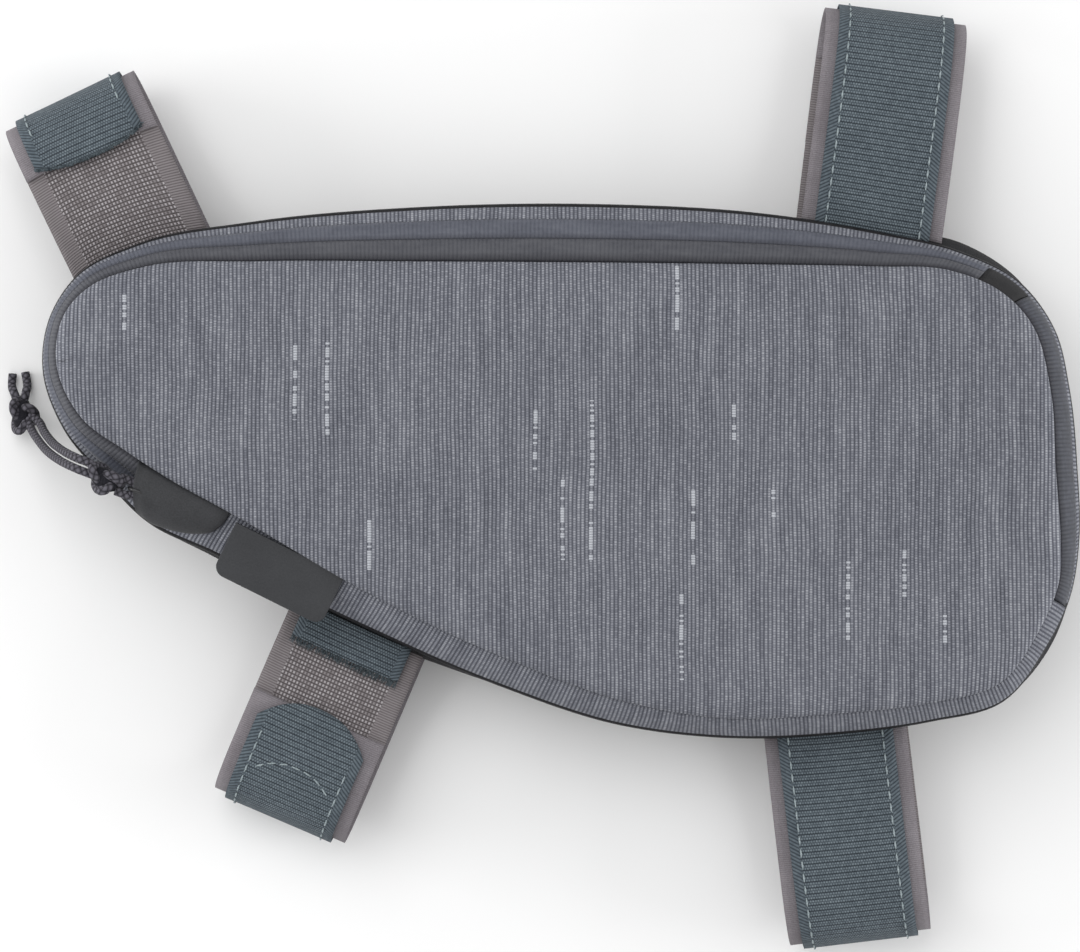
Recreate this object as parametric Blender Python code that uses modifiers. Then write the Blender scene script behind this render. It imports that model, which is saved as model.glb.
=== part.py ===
"""Bicycle frame bag lying on its back panel, with its four strap loops closed.

Metres. The origin is the middle of the back panel's underside. +X runs along the bag to its
wide end, +Y to its zip edge, +Z out of the front panel.
"""
import math

import bmesh
import bpy
import numpy as np
from mathutils import Matrix, Vector

# Overall sizes of the bag body.
BAG_LENGTH = 0.2711
BAG_HEIGHT = 0.1387
WALL_TOP = 0.0285
FRONT_RISE = 0.0155
PANEL_DOME = 0.0065

# Cloth thicknesses and clearances.
GAP = 0.0003
BACK_THICK = 0.0022
WALL_THICK = 0.0015
BORDER_THICK = 0.0012
ZIP_THICK = 0.0010
PANEL_THICK = 0.0022
SEAM_GAP = 0.0006
PIPING_RADIUS = 0.0012
BACK_PIPING_HEIGHT = 0.0024

# The panel's rolled edge.
PANEL_ROLL = 0.005
PANEL_LAP = 0.0010
WALL_BULGE = 0.005
BORDER_BULGE = 0.0009

# Parts on the zip.
GARAGE_THICK = 0.0009
GARAGE_LIFT = 0.0056
PATCH_THICK = 0.0010
BAND_THICK = 0.0014
SLIDER_LENGTH = 0.007
SLIDER_WIDTH = 0.005
SLIDER_HEIGHT = 0.0020
PULL_LINK_HEIGHT = 0.0048
PULL_LINK_WIRE = 0.0005

# Label tab.
LABEL_WIDTH = 0.0316
LABEL_LENGTH = 0.0150
LABEL_THICK = 0.0006
LABEL_CORNER = 0.0030
LABEL_SLOPE = 15.0

# Straps.
TAPE_WIDTH = 0.0375
WEBBING_WIDTH = 0.0305
HOOK_THICK = 0.0011
BACKING_THICK = 0.0008
WEBBING_THICK = 0.0012
LOOP_HEIGHT = 0.0262

# Pull cord.
CORD_DIAMETER = 0.0023
STRAND_SPACING = 0.0026

# Stations round the bag, clockwise from the narrow left end. The first four columns are shares
# of half the length and half the height: the wall's edge, then the front panel's seam. Next are
# the seam's rise, the wall's bulge and the panel's lap, each a share of its named size.
STATIONS = (
    (-1.000, 0.398, -0.966, 0.408, 1.00, 0.30, 0.0),
    (-0.986, 0.580, -0.954, 0.573, 0.98, 0.30, 0.0),
    (-0.936, 0.731, -0.907, 0.685, 0.90, 0.30, 0.0),
    (-0.816, 0.852, -0.795, 0.767, 0.84, 0.30, 0.0),
    (-0.603, 0.932, -0.592, 0.786, 0.78, 0.25, 0.0),
    (-0.273, 0.989, -0.271, 0.786, 0.75, 0.25, 0.0),
    (0.076, 1.000, 0.074, 0.782, 0.75, 0.25, 0.0),
    (0.386, 0.966, 0.377, 0.775, 0.75, 0.25, 0.0),
    (0.618, 0.894, 0.603, 0.767, 0.78, 0.45, 0.0),
    (0.773, 0.822, 0.745, 0.752, 0.84, 0.90, 0.0),
    (0.886, 0.708, 0.846, 0.666, 0.92, 0.55, 0.0),
    (0.952, 0.534, 0.906, 0.528, 1.00, 0.25, 0.0),
    (0.981, 0.307, 0.936, 0.303, 1.00, 0.20, 0.0),
    (0.996, 0.004, 0.946, 0.004, 1.00, 0.20, 0.0),
    (1.000, -0.242, 0.955, -0.259, 1.00, 0.25, 0.0),
    (0.981, -0.481, 0.948, -0.446, 1.00, 0.50, 0.0),
    (0.938, -0.659, 0.906, -0.625, 1.00, 0.70, 0.0),
    (0.855, -0.864, 0.835, -0.798, 1.00, 0.40, 0.0),
    (0.715, -0.939, 0.701, -0.869, 1.00, 0.25, 0.0),
    (0.541, -0.985, 0.534, -0.906, 1.00, 0.25, 0.0),
    (0.324, -1.000, 0.319, -0.925, 1.00, 0.25, 0.0),
    (0.114, -0.951, 0.128, -0.865, 0.98, 0.25, 0.0),
    (-0.118, -0.803, -0.092, -0.708, 0.94, 0.35, 0.3),
    (-0.390, -0.572, -0.353, -0.464, 0.88, 0.75, 0.7),
    (-0.672, -0.303, -0.623, -0.154, 0.82, 0.50, 1.0),
    (-0.797, -0.186, -0.742, -0.026, 0.82, 0.30, 1.0),
    (-0.886, -0.011, -0.830, 0.078, 0.88, 0.30, 0.5),
    (-0.959, 0.163, -0.918, 0.198, 0.96, 0.30, 0.0),
)
STATION_COUNT = len(STATIONS)

# Section of the front edge between the piping and the panel's seam: the place along it, then the
# share of the way in to the seam and the share of the rise.
EDGE_SECTION = (
    (0.00, 0.00, 0.00),
    (0.20, 0.02, 0.28),
    (0.42, 0.27, 0.55),
    (0.68, 0.62, 0.80),
    (1.00, 1.00, 1.00),
)
EDGE_SLANT = 1.2
ZIP_EDGE = 0.42
ZIP_CENTRE = 0.68

# Where pieces start and end round the bag, in stations.
ZIP_SPAN = (25.0, 37.5)
UPPER_SPAN = (25.0, 43.1)
LOWER_SPAN = (15.2, 24.9)
PATCH_SPAN = (9.58, 10.26)
BAND_SPAN = (10.34, 15.0)
LABEL_STATION = 23.6
SLIDER_STATION = 24.88
SLIDER_PLACE = 0.66

# Garage flap, mouth first: station at the seam, station at the free edge, place of that edge.
GARAGE_ROWS = (
    (25.72, 25.05, 0.27),
    (25.55, 24.96, 0.29),
    (25.20, 24.75, 0.34),
    (24.80, 24.50, 0.41),
    (24.45, 24.25, 0.54),
    (24.20, 24.12, 0.70),
    (24.08, 24.07, 0.88),
)

# Arch of the flap from its free edge to the seam: share of the way across, share of the lift.
GARAGE_SECTION = ((0.0, 0.0), (0.25, 1.0), (0.75, 1.0), (1.0, 0.0))

# Rolled edge of the panel as shares of the roll's width and of the dome, then the crown as the
# share of the way to the panel's middle and the share of the dome.
ROLL_SECTION = ((0.04, 0.00), (0.04, 0.26), (0.26, 0.50), (1.00, 0.72))
CROWN_SECTION = ((0.20, 0.89), (0.55, 0.99))

# Loop of a strap seen from its side, from the front root round the fold to the rear root, as
# shares of its reach and of the loop's height.
LOOP_SECTION = (
    (0.00, 0.935),
    (0.22, 0.990),
    (0.50, 1.020),
    (0.76, 1.000),
    (0.92, 0.870),
    (0.99, 0.620),
    (0.99, 0.420),
    (0.92, 0.200),
    (0.76, 0.110),
    (0.50, 0.110),
    (0.22, 0.150),
    (0.00, 0.210),
)

# Straps: name, station where it leaves the bag, heading in degrees, reach, sideways skew of the
# rear leg, whether the webbing starts at the front root, and how far its end laps past the fold.
STRAPS = (
    ("top_left", 2.94, 115.5, 0.0440, 0.0000, False, 0.0135, 0.0015),
    ("top_right", 7.94, 82.8, 0.0590, 0.0006, True, 0.0300, 0.0000),
    ("bottom_left", 23.0, 246.8, 0.0562, 0.0008, False, 0.0280, 0.0110),
    ("bottom_right", 19.04, 276.7, 0.0560, 0.0026, True, 0.0300, 0.0000),
)
HOOK_REACH = 0.80
FRAY_PATCH_LENGTH = 0.0110
FRAY_PATCH_STRAP = "bottom_left"

# The cord's chosen points: strands from the inner to the outer knot, then the two tails. They
# belong to a slider whose middle is at CORD_ANCHOR, and move along the table with it.
CORD_ANCHOR = (-0.1026, -0.0087)
KNOT_INNER = (-0.1187, -0.0022, 0.0414)
KNOT_OUTER = (-0.1442, 0.0150, 0.0052)
STRAND_ROUTE = (
    (-0.1233, 0.0009, 0.0412),
    (-0.1262, 0.0020, 0.0400),
    (-0.1303, 0.0037, 0.0335),
    (-0.1345, 0.0060, 0.0240),
    (-0.1380, 0.0090, 0.0150),
    (-0.1408, 0.0126, 0.0081),
)
TAIL_ROUTES = (
    ((-0.1464, 0.0204, 0.0044), (-0.1475, 0.0228, 0.0020), (-0.1474, 0.0262, 0.0015)),
    ((-0.1436, 0.0207, 0.0044), (-0.1434, 0.0232, 0.0021), (-0.1440, 0.0266, 0.0016)),
)
KNOT_INNER_SIZE = (0.0104, 0.0078, 0.0068)
KNOT_OUTER_SIZE = (0.0104, 0.0082, 0.0076)

# Fineness of the rings.
STEPS_PER_STATION = 2
STRAP_COLUMNS = 4
LOOP_POINTS = 24

HEATHER = (0.150, 0.156, 0.182)
COATED = (0.070, 0.075, 0.098)
BLACK = (0.012, 0.012, 0.013)
CHARCOAL = (0.044, 0.046, 0.050)
HOOK_GREY = (0.190, 0.172, 0.180)
WEBBING_BLUE = (0.066, 0.090, 0.108)
CORD_GREY = (0.070, 0.066, 0.080)


def clear_scene():
    for item in list(bpy.data.objects):
        bpy.data.objects.remove(item, do_unlink=True)


def parts_collection():
    collection = bpy.data.collections.new("bicycle_frame_bag")
    bpy.context.scene.collection.children.link(collection)
    return collection


def material(name, color, roughness):
    made = bpy.data.materials.new(name)
    made.use_nodes = True
    shader = made.node_tree.nodes["Principled BSDF"]
    shader.inputs["Base Color"].default_value = (*color, 1.0)
    shader.inputs["Roughness"].default_value = roughness
    shader.inputs["Metallic"].default_value = 0.0
    return made


def add_object(name, data, look):
    made = bpy.data.objects.new(name, data)
    made.data.materials.append(material(name, *look))
    PARTS.objects.link(made)
    return made


def smooth_through(points, places, spacing):
    """Values at the places along rows of points, on a smooth curve through them."""
    count = len(points)
    slopes = []
    for row in range(count):
        before, after = spacing[row - 1], spacing[row]
        back = (points[row] - points[row - 1]) / before
        ahead = (points[(row + 1) % count] - points[row]) / after
        slopes.append((back * after + ahead * before) / (before + after))
    values = []
    for place in places:
        row = int(math.floor(place + 1e-9))
        part = place - row
        row %= count
        following = (row + 1) % count
        width = spacing[row]
        square, cube = part**2, part**3
        values.append(
            (2 * cube - 3 * square + 1) * points[row]
            + (cube - 2 * square + part) * width * slopes[row]
            + (3 * square - 2 * cube) * points[following]
            + (cube - square) * width * slopes[following]
        )
    return np.array(values)


def station_rows(places):
    """Edge point, seam point, rise, bulge and lap at places round the bag, in metres."""
    half = np.array((BAG_LENGTH / 2, BAG_HEIGHT / 2))
    table = np.array(STATIONS)
    scale = (*half, *half, FRONT_RISE, WALL_BULGE, PANEL_LAP)
    table = table * scale
    edge = table[:, :2]
    spacing = np.linalg.norm(np.roll(edge, -1, axis=0) - edge, axis=1)
    return smooth_through(table, places, spacing)


def outward(places):
    """Unit vectors pointing out of the bag's edge at the places."""
    step = 0.08
    ahead = station_rows([p + step for p in places])[:, :2]
    behind = station_rows([p - step for p in places])[:, :2]
    along = ahead - behind
    along /= np.linalg.norm(along, axis=1)[:, None]
    return np.stack((-along[:, 1], along[:, 0]), axis=1)


def span_places(start, end):
    count = max(2, round((end - start) * STEPS_PER_STATION) + 1)
    return [start + (end - start) * i / (count - 1) for i in range(count)]


def full_ring():
    count = STATION_COUNT * STEPS_PER_STATION
    return [i / STEPS_PER_STATION for i in range(count)]


def with_height(flat, height):
    heights = np.broadcast_to(height, len(flat))
    return np.column_stack((flat, heights))


def wall_surface(places, share):
    """Points on the depth wall's outer face, share 0 at the back and 1 at the front."""
    rows = station_rows(places)
    low, high = wall_heights()
    push = rows[:, 5] * math.sin(math.pi * share) - PIPING_RADIUS / 3
    flat = rows[:, :2] + outward(places) * push[:, None]
    return with_height(flat, low + (high - low) * share)


def wall_heights():
    low = BACK_PIPING_HEIGHT + PIPING_RADIUS + GAP
    high = WALL_TOP - PIPING_RADIUS - GAP
    return low, high


def edge_share(place, column):
    table = np.array(EDGE_SECTION)
    return float(np.interp(place, table[:, 0], table[:, column]))


def edge_surface(places, place, lift=0.0):
    """Points on the front edge between piping and seam; lift raises them off the surface."""
    rows = station_rows(places)
    normals = outward(places)
    start = WALL_TOP + PIPING_RADIUS + GAP
    inward, rise = edge_share(place, 1), edge_share(place, 2)
    bulge = BORDER_BULGE * math.sin(math.pi * place) - PIPING_RADIUS / 3 * (1 - inward)
    flat = rows[:, :2] + (rows[:, 2:4] - rows[:, :2]) * inward + normals * bulge
    top = WALL_TOP + rows[:, 4]
    height = start + (top - start) * rise
    lean = math.radians(25 + 45 * place)
    flat = flat + normals * lift * math.cos(lean)
    return with_height(flat, height + lift * math.sin(lean))


def loft(name, lines, closed, thickness, look, offset=-1.0):
    """A cloth strip through lines of matching points, given its thickness by Solidify."""
    mesh = bpy.data.meshes.new(name)
    bm = bmesh.new()
    rows = [[bm.verts.new(point) for point in line] for line in lines]
    for lower, upper in zip(rows, rows[1:]):
        count = len(lower)
        for i in range(count if closed else count - 1):
            j = (i + 1) % count
            bm.faces.new((lower[i], upper[i], upper[j], lower[j]))
    bm.to_mesh(mesh)
    bm.free()
    mesh.shade_smooth()
    made = add_object(name, mesh, look)
    thicken(made, thickness, offset)
    return made


def thicken(made, thickness, offset):
    shell = made.modifiers.new("cloth thickness", "SOLIDIFY")
    shell.thickness = thickness
    shell.offset = offset
    shell.use_even_offset = True
    shell.thickness_clamp = 1.0


def tube(name, points, radius, closed, look):
    curve = bpy.data.curves.new(name, "CURVE")
    curve.dimensions = "3D"
    curve.bevel_depth = radius
    curve.bevel_resolution = 2
    curve.use_fill_caps = not closed
    spline = curve.splines.new("POLY")
    spline.points.add(len(points) - 1)
    for slot, point in zip(spline.points, points):
        slot.co = (*point, 1.0)
    spline.use_cyclic_u = closed
    return add_object(name, curve, look)


def back_panel():
    places = full_ring()
    inset = 2 * PIPING_RADIUS + GAP
    outline = station_rows(places)[:, :2] - outward(places) * inset
    curve = bpy.data.curves.new("back_panel", "CURVE")
    curve.dimensions = "2D"
    curve.fill_mode = "BOTH"
    curve.extrude = BACK_THICK / 2
    spline = curve.splines.new("POLY")
    spline.points.add(len(outline) - 1)
    for slot, point in zip(spline.points, outline):
        slot.co = (*point, 0.0, 1.0)
    spline.use_cyclic_u = True
    made = add_object("back_panel", curve, (HEATHER, 0.9))
    made.location.z = BACK_THICK / 2


def piping(name, height):
    places = full_ring()
    inset = PIPING_RADIUS
    line = station_rows(places)[:, :2] - outward(places) * inset
    tube(name, with_height(line, height), PIPING_RADIUS, True, (BLACK, 0.45))


def depth_wall():
    places = full_ring()
    lines = [wall_surface(places, share) for share in (0.0, 0.25, 0.6, 1.0)]
    loft("depth_wall", lines, True, WALL_THICK, (BLACK, 0.85))


def edge_strip(name, span, from_place, to_place, thickness, look):
    places = span_places(*span)
    inner = [row[0] for row in EDGE_SECTION if from_place < row[0] < to_place]
    lines = [edge_surface(places, place) for place in (from_place, *inner, to_place)]
    loft(name, lines, False, thickness, look)


def edge_split():
    """Half the clearance between two strips of the edge, as a place along its section."""
    return GAP / (FRONT_RISE * EDGE_SLANT)


def zip_tapes():
    split = edge_split()
    edge_strip("zip_tape_outer", ZIP_SPAN, ZIP_EDGE + split, ZIP_CENTRE - split,
               ZIP_THICK, (COATED, 0.5))
    edge_strip("zip_tape_inner", ZIP_SPAN, ZIP_CENTRE + split, 1.0, ZIP_THICK, (COATED, 0.5))


def borders():
    split = edge_split()
    edge_strip("border_upper", UPPER_SPAN, 0.0, ZIP_EDGE - split, BORDER_THICK, (HEATHER, 0.9))
    edge_strip("border_lower", LOWER_SPAN, 0.0, 1.0, BORDER_THICK, (HEATHER, 0.9))


def right_end_pieces():
    low = ZIP_EDGE + edge_split()
    edge_strip("zip_end_patch", PATCH_SPAN, low, 1.0, PATCH_THICK, (CHARCOAL, 0.7))
    edge_strip("side_band", BAND_SPAN, low, 1.0, BAND_THICK, (COATED, 0.7))


def front_panel():
    """Domed panel with a rolled edge, closed at its middle by a fan."""
    places = full_ring()
    rows = station_rows(places)
    normals = outward(places)
    base = WALL_TOP + rows[:, 4] + SEAM_GAP
    lines = []
    for index, (inward, rise) in enumerate(ROLL_SECTION):
        lap = rows[:, 6] * (1.0 if index in (1, 2) else 0.0)
        flat = rows[:, 2:4] + normals * (lap - inward * PANEL_ROLL)[:, None]
        lines.append(with_height(flat, base + rise * PANEL_DOME))
    shoulder = lines[-1]
    middle = shoulder[:, :2].mean(axis=0)
    top = float(np.mean(base)) + PANEL_DOME
    edge_share_of_dome = ROLL_SECTION[-1][1]
    for inward, rise in CROWN_SECTION:
        flat = shoulder[:, :2] * (1 - inward) + middle * inward
        climb = (rise - edge_share_of_dome) / (1 - edge_share_of_dome)
        lines.append(with_height(flat, shoulder[:, 2] + (top - shoulder[:, 2]) * climb))
    made = loft("front_panel", lines, True, PANEL_THICK, (HEATHER, 0.9))
    close_middle(made.data, len(places), (*middle, top))


def close_middle(mesh, count, middle):
    bm = bmesh.new()
    bm.from_mesh(mesh)
    bm.verts.ensure_lookup_table()
    last = bm.verts[-count:]
    hub = bm.verts.new(middle)
    for i in range(count):
        bm.faces.new((last[i], hub, last[(i + 1) % count]))
    for face in bm.faces:
        face.smooth = True
    bm.to_mesh(mesh)
    bm.free()


def zip_garage():
    """Half-round flap over the zip's start, arched at its mouth."""
    lines = []
    for across, lifted in GARAGE_SECTION:
        line = []
        for index, (seam, free, place) in enumerate(GARAGE_ROWS):
            share = index / (len(GARAGE_ROWS) - 1)
            lift = 2 * GAP + GARAGE_LIFT * (1 - share**2) * lifted
            station = free + (seam - free) * across
            line.append(edge_surface([station], place + (0.97 - place) * across, lift)[0])
        lines.append(line[::-1])
    loft("zip_garage", lines, False, GARAGE_THICK, (CHARCOAL, 0.6), 1.0)


def surface_frame(station, place, lift):
    """A frame on the front edge: X along the zip, Y in towards the panel, Z off the cloth."""
    ahead = Vector(edge_surface([station + 0.1], place, lift)[0])
    behind = Vector(edge_surface([station - 0.1], place, lift)[0])
    inner = Vector(edge_surface([station], place + 0.05, lift)[0])
    outer = Vector(edge_surface([station], place - 0.05, lift)[0])
    along = (behind - ahead).normalized()
    across = inner - outer
    off = along.cross(across).normalized()
    if off.z < 0:
        off = -off
    across = off.cross(along)
    origin = Vector(edge_surface([station], place, lift)[0])
    return Matrix.Translation(origin) @ Matrix((along, across, off)).transposed().to_4x4()


def slider_frame():
    return surface_frame(SLIDER_STATION, SLIDER_PLACE, SLIDER_HEIGHT / 2 + 2 * GAP)


def zip_slider():
    bm = bmesh.new()
    bmesh.ops.create_cube(bm, size=1.0)
    bmesh.ops.scale(bm, vec=(SLIDER_LENGTH, SLIDER_WIDTH, SLIDER_HEIGHT), verts=bm.verts)
    mesh = bpy.data.meshes.new("zip_slider")
    bm.to_mesh(mesh)
    bm.free()
    made = add_object("zip_slider", mesh, (BLACK, 0.35))
    made.matrix_world = slider_frame()
    rounding = made.modifiers.new("rounded edges", "BEVEL")
    rounding.width = SLIDER_HEIGHT / 3
    rounding.segments = 2


def label_tab():
    """Plain tab sewn into the panel's seam, with two rounded outer corners."""
    half, length, corner = LABEL_WIDTH / 2, LABEL_LENGTH, LABEL_CORNER
    points = [(half, 0.0), (-half, 0.0)]
    for side in (-1, 1):
        for step in range(5):
            turn = math.pi / 2 * step / 4
            turn = turn if side < 0 else math.pi / 2 - turn
            x = side * (half - corner + corner * math.cos(turn))
            points.append((x, length - corner + corner * math.sin(turn)))
    curve = bpy.data.curves.new("label_tab", "CURVE")
    curve.dimensions = "2D"
    curve.fill_mode = "BOTH"
    curve.extrude = LABEL_THICK / 2
    spline = curve.splines.new("POLY")
    spline.points.add(len(points) - 1)
    for slot, point in zip(spline.points, points):
        slot.co = (*point, 0.0, 1.0)
    spline.use_cyclic_u = True
    made = add_object("label_tab", curve, (CHARCOAL, 0.6))
    rows = station_rows([LABEL_STATION])
    normal = Vector((*outward([LABEL_STATION])[0], 0.0))
    slope = math.radians(LABEL_SLOPE)
    down = Vector((0.0, 0.0, -1.0))
    out = normal * math.cos(slope) + down * math.sin(slope)
    along = Vector((normal.y, -normal.x, 0.0))
    off = along.cross(out)
    seam = Vector((*rows[0, 2:4], WALL_TOP + rows[0, 4]))
    place = seam + normal * 3 * GAP + off * (LABEL_THICK / 2 + 2 * GAP)
    turn = Matrix((along, out, off)).transposed().to_4x4()
    made.matrix_world = Matrix.Translation(place) @ turn


def open_smooth(points, count):
    """Points spaced evenly in index along a smooth open curve."""
    rows = np.array(points, dtype=float)
    places = np.linspace(0, len(rows) - 1, count)
    slopes = np.gradient(rows, axis=0)
    values = []
    for place in places:
        row = min(int(place), len(rows) - 2)
        part = place - row
        square, cube = part**2, part**3
        values.append(
            (2 * cube - 3 * square + 1) * rows[row]
            + (cube - 2 * square + part) * slopes[row]
            + (3 * square - 2 * cube) * rows[row + 1]
            + (cube - square) * slopes[row + 1]
        )
    return np.array(values)


def loop_line(reach, shift):
    """Side view of a strap loop, moved off its middle line by shift, outwards positive."""
    shares = open_smooth(LOOP_SECTION, LOOP_POINTS)
    line = shares * (reach, LOOP_HEIGHT)
    along = np.gradient(line, axis=0)
    along /= np.linalg.norm(along, axis=1)[:, None]
    normal = np.stack((-along[:, 1], along[:, 0]), axis=1)
    return line + normal * shift


def edge_reach(origin, heading, ring):
    """How far along the heading from the origin the ring is last crossed."""
    side = np.array((-heading[1], heading[0]))
    relative = ring[:, :2] - origin
    across, along = relative @ side, relative @ heading
    crossings = []
    for i in range(len(ring)):
        j = (i + 1) % len(ring)
        if across[i] * across[j] <= 0 and across[i] != across[j]:
            share = across[i] / (across[i] - across[j])
            crossings.append(along[i] + (along[j] - along[i]) * share)
    return max(crossings)


def wall_ring_at(height):
    low, high = wall_heights()
    share = min(max((height - low) / (high - low), 0.0), 1.0)
    return wall_surface([i / 8 for i in range(STATION_COUNT * 8)], share)


def ribbon(name, strap, line, width, thickness, look, round_end=0.0):
    """A strap piece along part of a loop's side view, with its root cut to the wall."""
    _, station, angle, reach, skew, _, _, _ = strap
    heading = np.array((math.cos(math.radians(angle)), math.sin(math.radians(angle))))
    side = np.array((-heading[1], heading[0]))
    base = station_rows([station])[0, :2]
    from_end = np.linalg.norm(line - line[-1], axis=1)
    rings = [wall_ring_at(height) for height in (line[0, 1], line[-1, 1])]
    columns = []
    for column in range(STRAP_COLUMNS + 1):
        across = width * (column / STRAP_COLUMNS - 0.5)
        points = []
        for (out, height), left in zip(line, from_end):
            narrow = 1.0
            if left < round_end:
                narrow = max(0.45, math.sqrt(1 - (1 - left / round_end) ** 2))
            drift = skew * (1 - height / LOOP_HEIGHT)
            start = base + side * (across * narrow + drift)
            root = max(edge_reach(start, heading, ring) for ring in rings) + GAP * 1.5
            reached = root + (reach - root) * min(max(out / reach, 0.0), 1.2)
            points.append((*(start + heading * reached), height))
        columns.append(points)
    loft(name, columns, False, thickness, look, 0.0)


def cut_line(line, lap, from_front):
    """The loop from the webbing's root to its end, which laps past the fold."""
    if not from_front:
        line = line[::-1]
    fold = int(np.argmax(line[:, 0]))
    lengths = np.cumsum(np.r_[0, np.linalg.norm(np.diff(line, axis=0), axis=1)])
    limit = lengths[fold] + lap + LOOP_HEIGHT / 2
    return line[lengths <= limit]


def strap(entry):
    name, _, _, reach, _, from_front, lap, end_round = entry
    webbing_shift = BACKING_THICK / 2 + GAP + WEBBING_THICK / 2
    hook_shift = BACKING_THICK / 2 + GAP + HOOK_THICK / 2
    backing = cut_line(loop_line(reach, 0.0), lap, from_front)
    ribbon(f"strap_{name}_backing", entry, backing, TAPE_WIDTH, BACKING_THICK, (HOOK_GREY, 0.9))
    webbing = cut_line(loop_line(reach, webbing_shift), lap, from_front)
    ribbon(f"strap_{name}_webbing", entry, webbing, WEBBING_WIDTH, WEBBING_THICK,
           (WEBBING_BLUE, 0.85), end_round)
    inside = loop_line(reach, -hook_shift)
    if from_front:
        inside = inside[::-1]
    fold = int(np.argmax(inside[:, 0]))
    hook = np.array([p for p in inside[:fold] if p[0] <= reach * HOOK_REACH])
    ribbon(f"strap_{name}_hook", entry, hook, TAPE_WIDTH, HOOK_THICK, (HOOK_GREY, 0.95))
    if name == FRAY_PATCH_STRAP:
        outer = loop_line(reach, -hook_shift + HOOK_THICK / 2 + GAP + WEBBING_THICK / 2)
        patch = np.array([p for p in outer[:fold] if p[0] <= FRAY_PATCH_LENGTH])
        ribbon(f"strap_{name}_fray_patch", entry, patch, WEBBING_WIDTH, WEBBING_THICK,
               (WEBBING_BLUE, 0.85))


def knot(name, centre, size, heading):
    bm = bmesh.new()
    bmesh.ops.create_uvsphere(bm, u_segments=12, v_segments=8, radius=0.5)
    bmesh.ops.scale(bm, vec=size, verts=bm.verts)
    mesh = bpy.data.meshes.new(name)
    bm.to_mesh(mesh)
    bm.free()
    mesh.shade_smooth()
    made = add_object(name, mesh, (CORD_GREY, 0.9))
    made.location = centre
    made.rotation_euler.z = heading


def cord_shift():
    """How far the slider has moved along the table from the cord's anchor."""
    place = slider_frame().translation
    return Vector((place.x - CORD_ANCHOR[0], place.y - CORD_ANCHOR[1], 0.0))


def strand_points(side):
    route = open_smooth(STRAND_ROUTE, 11) + np.array(cord_shift())
    along = np.gradient(route, axis=0)
    across = np.stack((-along[:, 1], along[:, 0], 0 * along[:, 0]), axis=1)
    across /= np.linalg.norm(across, axis=1)[:, None]
    return route + across * side * STRAND_SPACING / 2


def pull_cord():
    shift = cord_shift()
    inner, outer = Vector(KNOT_INNER) + shift, Vector(KNOT_OUTER) + shift
    run = Vector((*(inner - outer).xy, 0.0)).normalized()
    heading = math.atan2(run.y, run.x)
    knot("cord_knot_inner", inner, KNOT_INNER_SIZE, heading)
    knot("cord_knot_outer", outer, KNOT_OUTER_SIZE, math.pi / 2)
    radius = CORD_DIAMETER / 2
    for label, side in (("a", -1), ("b", 1)):
        tube(f"cord_strand_{label}", strand_points(side), radius, False, (CORD_GREY, 0.9))
    for label, route in zip("ab", TAIL_ROUTES):
        tail = open_smooth(route, 5) + np.array(shift)
        tube(f"cord_tail_{label}", tail, radius, False, (CORD_GREY, 0.9))
    pull_loop(inner)


def pull_loop(inner):
    """The cord's bight through the wire link, which hooks it to the slider's front end."""
    frame = slider_frame()
    reach = SLIDER_LENGTH / 2 + PULL_LINK_WIRE + GAP
    crown = Vector((0.0, 0.0, SLIDER_HEIGHT / 4))
    slider_end = frame.translation - frame.col[0].xyz * reach + crown
    towards = Vector((*(slider_end - inner).xy, 0.0)).normalized()
    across = Vector((-towards.y, towards.x, 0.0))
    bend = CORD_DIAMETER / 2 + PULL_LINK_WIRE + GAP
    start = inner + towards * (KNOT_INNER_SIZE[0] / 2 + GAP)
    centre = start + towards * CORD_DIAMETER / 2
    points = [start - across * bend]
    for step in range(9):
        turn = math.pi * (step / 8 - 0.5)
        points.append(centre + across * bend * math.sin(turn) + towards * bend * math.cos(turn))
    points.append(start + across * bend)
    tube("cord_bight", points, CORD_DIAMETER / 2, False, (CORD_GREY, 0.9))
    middle = (centre + slider_end) / 2
    half = (slider_end - centre) / 2
    up = Vector((0.0, 0.0, PULL_LINK_HEIGHT / 2))
    link = []
    for step in range(14):
        turn = 2 * math.pi * step / 14
        link.append(middle + half * math.cos(turn) + up * math.sin(turn))
    tube("zip_pull_link", link, PULL_LINK_WIRE, True, (BLACK, 0.35))


def build():
    back_panel()
    piping("back_piping", BACK_PIPING_HEIGHT)
    depth_wall()
    piping("front_piping", WALL_TOP)
    borders()
    zip_tapes()
    right_end_pieces()
    front_panel()
    zip_garage()
    zip_slider()
    label_tab()
    for entry in STRAPS:
        strap(entry)
    pull_cord()


clear_scene()
PARTS = parts_collection()
build()
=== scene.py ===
import math

import bmesh
import bpy
import numpy as np
from mathutils import Matrix, Vector


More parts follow.
